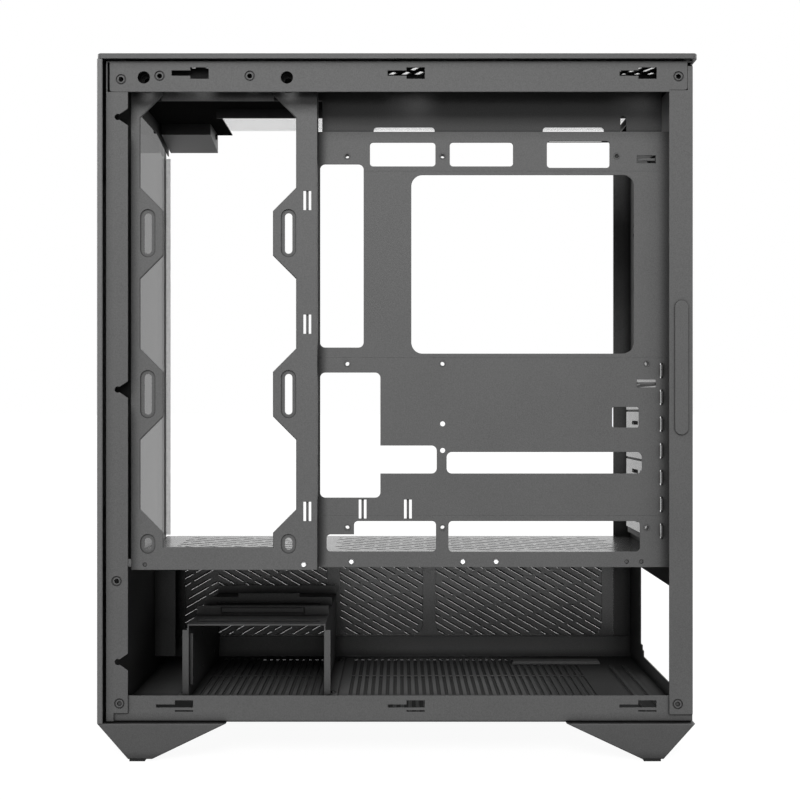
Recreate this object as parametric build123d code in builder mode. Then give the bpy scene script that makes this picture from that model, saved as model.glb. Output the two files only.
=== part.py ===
from build123d import *
import os
from math import cos, sin, radians

os.makedirs("parts", exist_ok=True)

# Tower computer case with both side panels off, in millimetres.
# The front faces -Y, the open cable side faces +X and +Z is up.
# The origin is under the middle of the case, on the surface that it stands on.

# Overall sizes
case_height = 518.0
case_depth = 439.2
lid_width = 223.0
foot_height = 27.5
lid_height = 4.0
side_inset = 3.0
rear_inset = 2.8
lid_gap = 1.0

# Sheet metal
sheet = 1.0
bend = 1.8
joint_gap = 0.2

# Front glass
glass_thickness = 4.0
glass_gap = 2.0

# Levels and planes that the pieces share
half_width = lid_width / 2 - side_inset
side_outer = half_width
side_inner = half_width - sheet
rail_outer = side_inner
rail_inner = rail_outer - sheet
lid_front = -case_depth / 2
lid_rear = case_depth / 2
glass_back = lid_front + glass_thickness
front_face = glass_back + glass_gap
front_inner = front_face + sheet
rear_face = lid_rear - rear_inset
rear_inner = rear_face - sheet
body_bottom = foot_height
floor_top = body_bottom + sheet
body_top = case_height - lid_height
plate_top = body_top - lid_gap
plate_bottom = plate_top - sheet
body_mid = (front_face + rear_face) / 2

# Side rails, columns and the hook slots that the side panels hang in
bottom_rail_height = 19.6
top_rail_height = 22.5
bottom_rail_top = body_bottom + bottom_rail_height
top_rail_bottom = plate_top - top_rail_height
front_column_width = 15.9
rear_column_width = 17.2
hook_pitch = 170.2
hook_middle = body_mid + 5.2
hook_narrow_length = 13.8
hook_wide_length = 13.4
hook_narrow_height = 2.3
top_mouth_height = 3.9
hook_wide_height = 8.4

# Chamber, tray and bracket
chamber_height = 112.5
shroud_top = body_bottom + chamber_height
tray_inset = 28.1
tray_near = half_width - tray_inset
tray_far = tray_near - sheet
bracket_inset = 13.9
bracket_near = half_width - bracket_inset
bracket_far = bracket_near - sheet
tray_lap = 2.3
tray_bottom = shroud_top - tray_lap
tray_height = 330.5
tray_top = tray_bottom + tray_height
tray_length = 275.9
tray_front = rear_inner - tray_length
bracket_overlap = 0.2

# Board hole pattern: columns along the depth and rows in height
inch = 25.4
board_row_low = shroud_top + 27.7
board_rows = [board_row_low, board_row_low + 4.9 * inch, board_row_low + 11.1 * inch]
board_col_rear = rear_inner - 26.5
board_cols = [board_col_rear - 8.95 * inch, board_col_rear - 6.1 * inch, board_col_rear]
board_top_rear = board_col_rear - 0.9 * inch
standoff_hole = 1.9
standoff_height = 6.5

# Rear recess, slots and port window
recess_depth = 14.8
recess_face = rear_inner - recess_depth
slot_pitch = 20.32
slot_count = 7
slot_first = shroud_top + 25.0
slot_opening = 14.3
slot_length = 112.0
cover_width = 18.4
cover_thickness = 1.0
tongue_width = 9.0
ledge_x = -46.0

# Power supply opening
psu_left = -65.8
psu_width = 140.0
psu_low = 40.2
psu_opening_height = 77.3

# Slanted slits of the chamber and top vents
slit_angle = 30.0
slit_length = 21.0
slit_width = 2.6
slit_pitch = 5.9
slit_bridge = 3.2
far_slit_width = 1.6
least_slit_area = 7.0
grille_pitch = 7.5
top_slit_pitch = 8.5
top_slit_width = 4.6
shroud_slit_pitch = 11.0

# Ring pressed in round each screw hole of the outer frame
column_hole = 1.8
seat_inner = 2.8
seat_outer = 3.8
seat_depth = 0.6

# Drive cage on the floor: where it stands and the screws of its feet
cage_front = front_face + 47.2
cage_width = 109.3
cage_rear = cage_front + cage_width
cage_near = 43.5
cage_far = -rail_inner + bend - sheet + joint_gap
cage_foot = 9.0
cage_screw_shank = 1.5
cage_screw_spots = [
    (x, y)
    for x in (cage_near - 15.0, cage_near - 129.0)
    for y in (cage_front - cage_foot / 2 - 0.8, cage_rear + cage_foot / 2 + 0.8)
]
screw_clearance = 0.1

# Fan openings
fan_size = 120.0
fan_hole_pitch = 105.0


def side_plane(x):
    return Plane.YZ.offset(x)


def cross_plane(y):
    return Plane.XZ.offset(-y)


def box_between(low, high):
    """A plain sheet or block between two corners, inside the current part."""
    size = [high[i] - low[i] for i in range(3)]
    middle = [(high[i] + low[i]) / 2 for i in range(3)]
    with Locations(tuple(middle)):
        Box(*size)


def area_between(low, high, mode=Mode.ADD):
    """A rectangle between two corners, inside the current sketch."""
    with Locations(((low[0] + high[0]) / 2, (low[1] + high[1]) / 2)):
        Rectangle(high[0] - low[0], high[1] - low[1], mode=mode)


def slit_field(
    plane, low, high, corner, angle=slit_angle, pitch=slit_pitch, width=slit_width, block=None
):
    """Rows of slanted slits that fill a window with round corners, or one block of it."""
    along = slit_length + slit_bridge
    lean = radians(-angle)
    middle = ((low[0] + high[0]) / 2, (low[1] + high[1]) / 2)
    half = ((high[0] - low[0]) / 2, (high[1] - low[1]) / 2)
    reach = half[0] + half[1]
    spots = []
    for row in range(-int(reach / pitch), int(reach / pitch) + 1):
        shift = (row % 4) * along / 4
        for step in range(-int(reach / along) - 1, int(reach / along) + 2):
            u = step * along + shift
            v = row * pitch
            spot = (u * cos(lean) - v * sin(lean), u * sin(lean) + v * cos(lean))
            if abs(spot[0]) < half[0] + slit_length / 2 and abs(spot[1]) < half[1] + slit_length / 2:
                spots.append((middle[0] + spot[0], middle[1] + spot[1]))
    with BuildSketch(plane) as field:
        with Locations(*spots):
            Rectangle(slit_length, width, rotation=-angle)
        with Locations(middle):
            RectangleRounded(2 * half[0], 2 * half[1], corner, mode=Mode.INTERSECT)
        if block:
            area_between(block[0], block[1], Mode.INTERSECT)
    return Compound(field.sketch.faces().filter_by(lambda face: face.area > least_slit_area))


def round_holes(plane, spots, radius):
    with BuildSketch(plane) as holes:
        with Locations(*spots):
            Circle(radius)
    return holes.sketch


def seat_rings(plane, spots):
    with BuildSketch(plane) as rings:
        with Locations(*spots):
            Circle(seat_outer)
            Circle(seat_inner, mode=Mode.SUBTRACT)
    return rings.sketch


def hook_slots(plane, junctions, level, mouth_height, split):
    """Keyhole slots: a narrow mouth, then a wide part that a low bar may split."""
    wide_low = level - hook_wide_height / 2
    with BuildSketch(plane) as slots:
        for y in junctions:
            area_between(
                (y - hook_narrow_length, level - mouth_height / 2), (y, level + mouth_height / 2)
            )
            area_between((y, wide_low), (y + hook_wide_length, level + hook_wide_height / 2))
            if split:
                area_between(
                    (y, wide_low + hook_narrow_height / 2),
                    (y + hook_wide_length, level - mouth_height / 2),
                    Mode.SUBTRACT,
                )
    return slots.sketch


def save(part, name):
    part.label = name
    export_step(part, "parts/" + name + ".step")


# Base pan: the floor with a rail folded up on each side, one sheet
vent_slot_length = 62.5
vent_slot_width = 3.0
vent_pitch_x = 66.5
vent_pitch_y = 5.95
vent_middle = 1.0
psu_vent_y = rear_inner - 155.5
psu_vent_rows = 34
cage_vent_y = front_inner + 102.7
cage_vent_rows = 17
bottom_hooks = [hook_middle + step * hook_pitch for step in (-1, 0, 1)]
bottom_hook_level = body_bottom + 12.0
floor_rib_height = 1.5
floor_step_height = 2.5

with BuildPart() as base_pan:
    with BuildSketch(cross_plane(rear_inner)) as channel:
        area_between((-rail_outer, body_bottom), (rail_outer, bottom_rail_top))
        fillet(channel.vertices().group_by(Axis.Y)[0], bend)
        with BuildSketch(cross_plane(rear_inner), mode=Mode.SUBTRACT) as hollow:
            area_between((-rail_inner, floor_top), (rail_inner, bottom_rail_top + sheet))
            fillet(hollow.vertices().group_by(Axis.Y)[0], bend - sheet)
    extrude(amount=rear_inner - front_inner)
    # Pressed ridges that stiffen the floor near the rear and the far side
    with BuildSketch(Plane.XY.offset(floor_top)):
        for y in (rear_inner - 14.0, rear_inner - 26.0):
            area_between((-rail_inner + 40.0, y - 2.0), (rail_inner - 12.0, y + 2.0))
    extrude(amount=floor_rib_height, taper=20)
    with BuildSketch(Plane.XY.offset(floor_top)):
        area_between((-rail_inner + 20.0, rear_inner - 113.0), (-rail_inner + 32.0, rear_inner - 34.0))
    extrude(amount=floor_step_height, taper=20)
    with BuildSketch(Plane.XY.offset(body_bottom)):
        for vent_y, rows in ((psu_vent_y, psu_vent_rows), (cage_vent_y, cage_vent_rows)):
            with Locations((vent_middle, vent_y)):
                with GridLocations(vent_pitch_x, vent_pitch_y, 3, rows):
                    Rectangle(vent_slot_length, vent_slot_width)
        # The slots stop short of the pressed step
        area_between(
            (-rail_inner + 18.0, rear_inner - 115.0),
            (-rail_inner + 34.0, rear_inner - 32.0),
            Mode.SUBTRACT,
        )
    extrude(amount=sheet, mode=Mode.SUBTRACT)
    with BuildSketch(Plane.XY.offset(body_bottom)):
        with Locations(*cage_screw_spots):
            Circle(cage_screw_shank + screw_clearance)
    extrude(amount=sheet, mode=Mode.SUBTRACT)
    extrude(
        hook_slots(
            side_plane(rail_outer), bottom_hooks, bottom_hook_level, hook_narrow_height, True
        ),
        amount=-sheet,
        mode=Mode.SUBTRACT,
    )
save(base_pan.part, "base_pan")

# Front frame: near column, top beam and the wall in front of the chamber, one sheet
front_column_top = top_rail_bottom - joint_gap
front_column_inner = front_face + front_column_width
front_column_bottom = body_bottom + 7.0
notch_radius = 2.3
notch_flare = 6.5
notch_inset = 7.4
notch_levels = [body_bottom + 44.5, body_bottom + 244.5, body_bottom + 444.5]
front_hole_spots = [
    (front_face + 7.7, body_bottom + 103.9),
    (front_face + 9.7, body_bottom + 14.1),
]
post_width = 28.0
post_return = 14.0
beam_height = 10.5
beam_corner_drop = 9.0
chamber_wall_top = shroud_top
inner_flange_x = -50.0
inner_flange_depth = 18.0

with BuildPart() as front_frame:
    # Face ring: chamber wall, near post and top beam, open where the glass shows
    with BuildSketch(cross_plane(front_inner)):
        area_between((-side_outer, floor_top), (side_outer, plate_bottom))
        with BuildSketch(cross_plane(front_inner), mode=Mode.SUBTRACT):
            with BuildLine():
                Polyline(
                    (side_outer - post_width, chamber_wall_top),
                    (side_outer - post_width, plate_bottom - beam_height),
                    (-side_inner + 46.0, plate_bottom - beam_height),
                    (-side_outer, plate_bottom - beam_height - beam_corner_drop),
                    (-side_outer - 5.0, plate_bottom - beam_height - beam_corner_drop),
                    (-side_outer - 5.0, chamber_wall_top),
                    close=True,
                )
            make_face()
    extrude(amount=sheet)
    # Column flange on the near side, stepped round the bottom rail
    with BuildSketch(side_plane(side_inner)):
        with BuildLine():
            Polyline(
                (front_face, floor_top),
                (front_face + 5.5, floor_top),
                (front_face + 5.5, front_column_bottom),
                (front_column_inner, front_column_bottom),
                (front_column_inner, front_column_top),
                (front_face, front_column_top),
                close=True,
            )
        make_face()
        with Locations(*[(front_column_inner - notch_inset, z) for z in notch_levels]):
            Circle(notch_radius, mode=Mode.SUBTRACT)
        for z in notch_levels:
            with BuildLine():
                Polyline(
                    (front_column_inner - notch_inset, z - notch_radius / 2),
                    (front_column_inner + 0.5, z - notch_flare),
                    (front_column_inner + 0.5, z + notch_flare),
                    (front_column_inner - notch_inset, z + notch_radius / 2),
                    close=True,
                )
            make_face(mode=Mode.SUBTRACT)
    extrude(amount=sheet)
    # Return of the post and the inner flange beside the drive bay
    box_between(
        (side_outer - post_width, front_inner, shroud_top + 4.0),
        (side_outer - post_width + sheet, front_inner + post_return, plate_bottom - beam_height),
    )
    box_between(
        (inner_flange_x, front_inner, body_bottom + 14.0),
        (inner_flange_x + sheet, front_inner + inner_flange_depth, chamber_wall_top - 1.0),
    )
    extrude(
        seat_rings(side_plane(side_outer), front_hole_spots),
        amount=-seat_depth,
        mode=Mode.SUBTRACT,
    )
    extrude(
        round_holes(side_plane(side_outer), front_hole_spots, column_hole),
        amount=-sheet,
        mode=Mode.SUBTRACT,
    )
save(front_frame.part, "front_frame")

# Rear panel: the outer sheet with its near column and far flange, open where the recess sits
rear_column_inner = rear_face - rear_column_width
rear_column_bottom = body_bottom + 6.1
rear_hole_spots = [(rear_face - 11.0, body_bottom + 13.7)]
far_flange_width = 16.8
recess_low = slot_first - slot_pitch / 2 - 4.0
recess_high = board_rows[2] + 14.5
port_window_low = board_rows[1] + 7.3
port_window_height = 158.4
port_window_near = tray_far - 5.6
port_window_width = 44.4
port_recess_side = port_window_near - port_window_width - 6.0
port_recess_low = slot_first + (slot_count - 0.5) * slot_pitch + 2.0
rear_fan_x = port_recess_side - 3.0 - fan_size / 2
rear_fan_z = recess_high - 44.0
fan_screw_radius = 2.2
grille_radius = 56.0
slot_levels = [slot_first + step * slot_pitch for step in range(slot_count)]
slot_near = tray_far - 4.0
cover_screw_radius = 1.5
cover_tab_depth = 11.0
cover_screw_y = recess_face + 6.0
rail_end = rear_face - 3.9
rail_step = 1.4
rear_column_top = top_rail_bottom + rail_step - joint_gap
column_strip_top = plate_bottom - 2.7


def recess_outline(inset):
    """The recess seen from behind: wide over the slots, narrow beside the fan."""
    with BuildSketch(cross_plane(rear_face)) as outline:
        area_between(
            (ledge_x - sheet + inset, recess_low + inset),
            (tray_far - inset, port_recess_low - inset),
        )
        area_between(
            (port_recess_side + inset, recess_low + inset),
            (tray_far - inset, recess_high - inset),
        )
    return outline.sketch


with BuildPart() as rear_panel:
    box_between((-side_outer, rear_inner, floor_top), (side_outer, rear_face, plate_bottom))
    box_between(
        (side_inner, rear_column_inner, rear_column_bottom),
        (side_outer, rear_inner, rear_column_top),
    )
    # A narrow strip of the column runs on upward behind the end of the top rail
    box_between(
        (side_inner, rail_end + joint_gap, rear_column_top),
        (side_outer, rear_inner, column_strip_top),
    )
    box_between(
        (-side_outer, rear_face - far_flange_width, rear_column_bottom),
        (-side_inner, rear_inner, plate_bottom),
    )
    # The near edge stays clear of the rails that lap the column above and below
    with BuildSketch(cross_plane(rear_face)):
        area_between((side_inner, column_strip_top), (side_outer, plate_bottom))
        area_between((side_inner, floor_top), (side_outer, rear_column_bottom))
    extrude(amount=sheet, mode=Mode.SUBTRACT)
    extrude(recess_outline(0), amount=sheet, mode=Mode.SUBTRACT)
    # Opening of the power supply, with its keyed corner
    with BuildSketch(cross_plane(rear_face)):
        area_between((psu_left, psu_low), (psu_left + psu_width, psu_low + psu_opening_height))
        area_between((psu_left, psu_low), (psu_left + 7.0, psu_low + 9.0), Mode.SUBTRACT)
        area_between((psu_left + 7.0, psu_low), (psu_left + 12.0, psu_low + 5.0), Mode.SUBTRACT)
    extrude(amount=sheet, mode=Mode.SUBTRACT)
    # Rear fan grille of slanted slits inside a circle, with its four screw holes
    extrude(
        slit_field(
            cross_plane(rear_face),
            (rear_fan_x - grille_radius, rear_fan_z - grille_radius),
            (rear_fan_x + grille_radius, rear_fan_z + grille_radius),
            grille_radius - 0.5,
            pitch=grille_pitch,
        ),
        amount=sheet,
        mode=Mode.SUBTRACT,
    )
    with BuildSketch(cross_plane(rear_face)):
        with Locations((rear_fan_x, rear_fan_z)):
            with GridLocations(fan_hole_pitch, fan_hole_pitch, 2, 2):
                Circle(fan_screw_radius)
    extrude(amount=sheet, mode=Mode.SUBTRACT)
    extrude(
        seat_rings(side_plane(side_outer), rear_hole_spots),
        amount=-seat_depth,
        mode=Mode.SUBTRACT,
    )
    extrude(
        round_holes(side_plane(side_outer), rear_hole_spots, column_hole),
        amount=-sheet,
        mode=Mode.SUBTRACT,
    )
save(rear_panel.part, "rear_panel")

# Rear recess: a pan let into the rear panel, with the port window and the slots in its face
with BuildPart() as rear_recess:
    extrude(recess_outline(0), amount=rear_face - recess_face)
    extrude(recess_outline(sheet), amount=rear_face - recess_face - sheet, mode=Mode.SUBTRACT)
    with BuildSketch(cross_plane(rear_face)):
        area_between(
            (port_window_near - port_window_width, port_window_low),
            (port_window_near, port_window_low + port_window_height),
        )
        for z in slot_levels:
            area_between(
                (slot_near - slot_length, z - slot_opening / 2),
                (slot_near, z + slot_opening / 2),
            )
    extrude(amount=rear_face - recess_face, mode=Mode.SUBTRACT)
    # Screw holes of the slot covers in the ledge
    extrude(
        round_holes(
            side_plane(ledge_x - sheet),
            [(cover_screw_y, z) for z in slot_levels],
            cover_screw_radius + screw_clearance,
        ),
        amount=sheet,
        mode=Mode.SUBTRACT,
    )
save(rear_recess.part, "rear_recess")

# Raised oval pad on the rear column, where the hand pulls the panel off
pad_width = 10.0
pad_length = 98.8
pad_height = 1.0
pad_y = rear_face - 8.3
pad_level = body_bottom + 260.6

with BuildPart() as column_pad:
    with BuildSketch(side_plane(side_outer)):
        with Locations((pad_y, pad_level)):
            SlotOverall(pad_length, pad_width, rotation=90)
    extrude(amount=pad_height)
    fillet(column_pad.edges().group_by(Axis.X)[-1], 0.6 * pad_height)
save(column_pad.part, "column_pad")

# Port block under the lid's front far corner: where its pieces stand
port_block_x = -half_width + 20.5
port_block_y = front_face + 24.5
port_block_length = 34.0
port_block_width = 38.0

# Top plate: top sheet open on its far side, with the near rail folded down
top_hooks = [hook_middle - 158.6, hook_middle, hook_middle + hook_pitch]
top_hook_level = plate_top - 8.8
top_open_near = -20.0
top_open_front = front_face + 60.0
top_open_rear = rear_face - 12.0
stiffener_drop = 7.4
top_vent_inset = 12.0
top_vent_width = 40.0
top_rail_holes = [(front_face + 27.6, plate_top - 12.0), (front_face + 132.6, plate_top - 12.0)]
top_rail_hole = 4.5
top_seat_spots = [
    (front_face + 10.9, plate_top - 13.4),
    (front_face + 39.2, plate_top - 10.9),
    (front_face + 105.3, plate_top - 10.9),
    (rear_face - 10.4, plate_top - 11.3),
]
rail_front = front_face + 2.6
rail_corner = 2.0

with BuildPart() as top_plate:
    box_between((-side_outer, front_face, plate_bottom), (side_outer, rear_face, plate_top))
    with BuildSketch(Plane.XY.offset(plate_top)):
        area_between((-side_outer - 1.0, top_open_front), (top_open_near, top_open_rear))
        with Locations((port_block_x, port_block_y)):
            Rectangle(port_block_width, port_block_length)
    extrude(amount=-sheet, mode=Mode.SUBTRACT)
    box_between(
        (top_open_near, top_open_front, plate_bottom - stiffener_drop),
        (top_open_near + sheet, top_open_rear, plate_bottom),
    )
    # Near rail, stepped over the rear column and round at its lower corners
    with BuildSketch(side_plane(side_inner)) as rail:
        area_between((rail_front, top_rail_bottom), (rail_end, plate_bottom))
        area_between(
            (rear_column_inner, top_rail_bottom),
            (rail_end, top_rail_bottom + rail_step),
            Mode.SUBTRACT,
        )
        fillet(rail.vertices().group_by(Axis.X)[0].sort_by(Axis.Y)[0], rail_corner)
        fillet(rail.vertices().group_by(Axis.X)[-1].sort_by(Axis.Y)[0], rail_corner)
    extrude(amount=sheet)
    extrude(
        slit_field(
            Plane.XY.offset(plate_top),
            (side_outer - top_vent_inset - top_vent_width, front_face + 45.0),
            (side_outer - top_vent_inset, rear_face - 20.0),
            4.0,
            angle=-slit_angle,
            pitch=top_slit_pitch,
            width=top_slit_width,
        ),
        amount=-sheet,
        mode=Mode.SUBTRACT,
    )
    extrude(
        hook_slots(side_plane(side_outer), top_hooks, top_hook_level, top_mouth_height, False),
        amount=-sheet,
        mode=Mode.SUBTRACT,
    )
    extrude(
        round_holes(side_plane(side_outer), top_rail_holes, top_rail_hole),
        amount=-sheet,
        mode=Mode.SUBTRACT,
    )
    extrude(
        seat_rings(side_plane(side_outer), top_seat_spots),
        amount=-seat_depth,
        mode=Mode.SUBTRACT,
    )
    extrude(
        round_holes(side_plane(side_outer), top_seat_spots, column_hole),
        amount=-sheet,
        mode=Mode.SUBTRACT,
    )
save(top_plate.part, "top_plate")

# Top lid: a pressed frame, open on the far side, with its rim turned down on the other three
# sides, a seat for the mesh round its opening and posts under it
lid_skin = 2.0
lid_corner = 3.0
lid_edge = 0.6
lid_near_bar = 26.0
lid_front_bar = 62.0
lid_rear_bar = 15.0
lid_rim = 2.4
lid_post = 5.0
port_hole_gap = 0.3
power_radius = 6.5
power_spot = (port_block_x - 9.0, port_block_y - 8.0)
reset_radius = 2.6
reset_spot = (port_block_x - 9.0, port_block_y + 6.0)
usb_length = 13.2
usb_width = 5.8
usb_spots = [(port_block_x + 8.0, port_block_y - 11.0), (port_block_x + 8.0, port_block_y - 1.5)]
jack_radius = 3.2
jack_spot = (port_block_x + 8.0, port_block_y + 9.0)
mesh_low = (-lid_width / 2, lid_front + lid_front_bar)
mesh_high = (lid_width / 2 - lid_near_bar, lid_rear - lid_rear_bar)
mesh_lap = 1.8
mesh_seat = 1.3
mesh_far_gap = 0.3
mesh_thickness = 0.8
lid_posts = [
    (half_width - 8.0, front_face + 10.0),
    (half_width - 8.0, body_mid),
    (half_width - 8.0, rear_face - 8.0),
    (-half_width + 60.0, front_face + 10.0),
    (-half_width + 20.0, rear_face - 6.0),
]

with BuildPart() as top_lid:
    with BuildSketch(Plane.XY.offset(body_top)):
        RectangleRounded(lid_width, case_depth, lid_corner)
    extrude(amount=lid_height)
    chamfer(top_lid.faces().sort_by(Axis.Z)[-1].edges(), lid_edge)
    with BuildSketch(Plane.XY.offset(body_top)):
        area_between(
            (-lid_width / 2 - 1.0, lid_front + lid_rim),
            (lid_width / 2 - lid_rim, lid_rear - lid_rim),
        )
    extrude(amount=lid_height - lid_skin, mode=Mode.SUBTRACT)
    with BuildSketch(Plane.XY.offset(case_height)):
        area_between(
            (mesh_low[0] - 1.0, mesh_low[1] + mesh_lap),
            (mesh_high[0] - mesh_lap, mesh_high[1] - mesh_lap),
        )
        with Locations(power_spot):
            Circle(power_radius + port_hole_gap)
        with Locations(reset_spot):
            Circle(reset_radius + port_hole_gap)
        with Locations(*usb_spots):
            Rectangle(usb_length + 2 * port_hole_gap, usb_width + 2 * port_hole_gap)
        with Locations(jack_spot):
            Circle(jack_radius + port_hole_gap)
    extrude(amount=-lid_skin, mode=Mode.SUBTRACT)
    with BuildSketch(Plane.XY.offset(case_height)):
        area_between((mesh_low[0] - 1.0, mesh_low[1]), mesh_high)
    extrude(amount=-mesh_seat, mode=Mode.SUBTRACT)
    with BuildSketch(Plane.XY.offset(plate_top)):
        with Locations(*lid_posts):
            Rectangle(lid_post, lid_post)
    extrude(amount=case_height - lid_skin - plate_top)
save(top_lid.part, "top_lid")

# Mesh panel let into the lid's opening, on its seat
with BuildPart() as top_filter:
    box_between(
        (mesh_low[0] + mesh_far_gap, mesh_low[1] + joint_gap, case_height - mesh_seat),
        (
            mesh_high[0] - joint_gap,
            mesh_high[1] - joint_gap,
            case_height - mesh_seat + mesh_thickness,
        ),
    )
save(top_filter.part, "top_filter")

# Motherboard tray: a sheet with its cut-outs, a rear flange and pressed tie bridges
# Each window is low y, high y, low z, high z and corner, from the board's low rear hole
tray_windows = {
    "cooler": (-178.7, -9.7, 132.1, 267.7, 8.5),
    "top front": (-210.1, -160.4, 274.2, 292.3, 2.5),
    "top middle": (-149.5, -101.5, 274.2, 292.3, 2.5),
    "top rear": (-75.8, -28.2, 273.1, 293.4, 2.5),
    "card cables": (-151.9, -3.6, 41.1, 57.4, 4.0),
    "small": (-26.3, -6.0, 76.0, 91.6, 1.5),
    "low rear": (-150.5, -5.1, -18.3, 5.0, 3.0),
    "low front": (-222.2, -160.0, -18.1, 5.0, 3.0),
    "low front step": (-243.0, -212.0, -18.1, -5.1, 3.0),
    "drive cables": (-219.0, -159.4, 41.1, 62.3, 4.0),
}
edge_windows = {
    "upper": (-214.9, 136.7, 275.8),
    "lower": (-202.2, 22.8, 117.7),
}
edge_window_corner = 4.0
tray_edge = 1.4
tray_edge_fold = 8.0
tray_flange = 12.0
tongue_slot_width = 2.2
tongue_slot_height = 11.4
tie_slot = 2.0
tie_width = 5.9
tie_length = 14.4
tie_sink = 0.8
tie_grip = 0.8
tray_ties_upright = [(-215.7, 14.1), (-181.3, 14.1)]
tray_ties_level = [(-0.3, 109.5), (-0.3, 279.6)]
tray_rivets = [(-139.6, -25.8), (-114.4, -25.8), (-224.2, -25.8)]
tray_dimples = [(-15.3, -25.8), (-4.2, -25.8)]
rivet_shank = 1.6
extra_standoff_rows = [78.8, 58.6]


def from_board(y, z):
    return (board_col_rear + y, board_row_low + z)


standoff_spots = [
    (board_cols[0], board_rows[0]),
    (board_cols[1], board_rows[0]),
    (board_cols[2], board_rows[0]),
    (board_cols[0], board_rows[1]),
    (board_cols[1], board_rows[1]),
    (board_cols[2], board_rows[1]),
    (board_cols[0], board_rows[2]),
    (board_cols[1], board_rows[2]),
    (board_top_rear, board_rows[2]),
]


def tie_bridges(near_face, upright, level):
    """Openings of the tie points, then the strips that cross them, bowed back behind the sheet."""
    with BuildSketch(side_plane(near_face)) as openings:
        if upright:
            with Locations(*upright):
                Rectangle(tie_width, tie_length)
        if level:
            with Locations(*level):
                Rectangle(tie_length, tie_width)
    with BuildSketch(side_plane(near_face - tie_sink)) as strips:
        if upright:
            with Locations(*upright):
                Rectangle(tie_width - 2 * tie_slot, tie_length + 2 * tie_grip)
        if level:
            with Locations(*level):
                Rectangle(tie_length + 2 * tie_grip, tie_width - 2 * tie_slot)
    return openings.sketch, strips.sketch


tray_tie_openings, tray_tie_strips = tie_bridges(
    tray_near,
    [from_board(*spot) for spot in tray_ties_upright],
    [from_board(*spot) for spot in tray_ties_level],
)

with BuildPart() as whole_tray:
    with BuildSketch(side_plane(tray_near)):
        area_between((tray_front, tray_bottom), (rear_inner, tray_top))
        for y_low, y_high, z_low, z_high, corner in tray_windows.values():
            low = from_board(y_low, z_low)
            high = from_board(y_high, z_high)
            with Locations(((low[0] + high[0]) / 2, (low[1] + high[1]) / 2)):
                RectangleRounded(high[0] - low[0], high[1] - low[1], corner, mode=Mode.SUBTRACT)
        for y_high, z_low, z_high in edge_windows.values():
            low = (tray_front + tray_edge, from_board(0, z_low)[1])
            high = from_board(y_high, z_high)
            with Locations(((low[0] + high[0]) / 2, (low[1] + high[1]) / 2)):
                RectangleRounded(
                    high[0] - low[0], high[1] - low[1], edge_window_corner, mode=Mode.SUBTRACT
                )
        with Locations(*standoff_spots):
            Circle(standoff_hole, mode=Mode.SUBTRACT)
        with Locations(*[(board_cols[1], board_row_low + z) for z in extra_standoff_rows]):
            Circle(standoff_hole, mode=Mode.SUBTRACT)
        with Locations(*[from_board(*spot) for spot in tray_rivets + tray_dimples]):
            Circle(rivet_shank + screw_clearance, mode=Mode.SUBTRACT)
        with Locations(*[(recess_face - cover_thickness / 2, z) for z in slot_levels]):
            Rectangle(tongue_slot_width, tongue_slot_height, mode=Mode.SUBTRACT)
    extrude(amount=-sheet)
    extrude(tray_tie_openings, amount=-sheet, mode=Mode.SUBTRACT)
    extrude(tray_tie_strips, amount=-sheet)
    # Front edge folded back beside the cable openings
    for y_high, z_low, z_high in edge_windows.values():
        box_between(
            (tray_near - tray_edge_fold, tray_front, from_board(0, z_low)[1]),
            (tray_near, tray_front + sheet, from_board(0, z_high)[1]),
        )
    box_between(
        (tray_near, rear_inner - sheet, tray_bottom + 12.0),
        (tray_near + tray_flange, rear_inner, tray_top - 12.0),
    )

# The tray is kept as four bars that meet edge to edge, each simple enough to be one piece
tray_joints = [from_board(0, z)[1] for z in (9.0, 129.0, 270.5)]
tray_levels = [tray_bottom - 1.0, *tray_joints, tray_top + 1.0]
tray_names = ["tray_bottom_bar", "tray_cable_panel", "motherboard_tray", "tray_top_bar"]
for name, low, high in zip(tray_names, tray_levels, tray_levels[1:]):
    with BuildPart() as tray_bar:
        add(whole_tray.part)
        with BuildSketch(side_plane(tray_near + tray_flange)):
            area_between((tray_front - 1.0, low), (rear_inner + 1.0, high))
        extrude(amount=-3 * tray_flange, mode=Mode.INTERSECT)
    save(tray_bar.part, name)

# Wall above the tray, hung from the top plate and lapped behind the tray
wall_lap = 7.8
wall_rear = recess_face - joint_gap
wall_front_low = plate_bottom - 20.1
wall_flange = 14.0
wall_slot_low = 293.2
wall_slot_high = 304.1
wall_slots = [(-207.3, -161.0), (-78.8, -32.3)]
keyhole = (-19.8, -15.2, 298.5, 312.8)

with BuildPart() as tray_top_wall:
    with BuildSketch(side_plane(tray_far)):
        area_between((tray_front + 3.0, tray_top - wall_lap), (wall_rear, plate_bottom))
        area_between((front_inner + post_return, wall_front_low), (tray_front + 4.0, plate_bottom))
        for y_low, y_high in wall_slots:
            low = from_board(y_low, wall_slot_low)
            high = from_board(y_high, wall_slot_high)
            with Locations(((low[0] + high[0]) / 2, (low[1] + high[1]) / 2)):
                RectangleRounded(high[0] - low[0], high[1] - low[1], 2.5, mode=Mode.SUBTRACT)
        with Locations(from_board((keyhole[0] + keyhole[1]) / 2, (keyhole[2] + keyhole[3]) / 2)):
            SlotOverall(
                keyhole[3] - keyhole[2], keyhole[1] - keyhole[0], rotation=90, mode=Mode.SUBTRACT
            )
    extrude(amount=-sheet)
    box_between(
        (tray_far - sheet - wall_flange, front_inner + post_return, plate_bottom - sheet),
        (tray_far - sheet, wall_rear, plate_bottom),
    )
save(tray_top_wall.part, "tray_top_wall")

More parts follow.
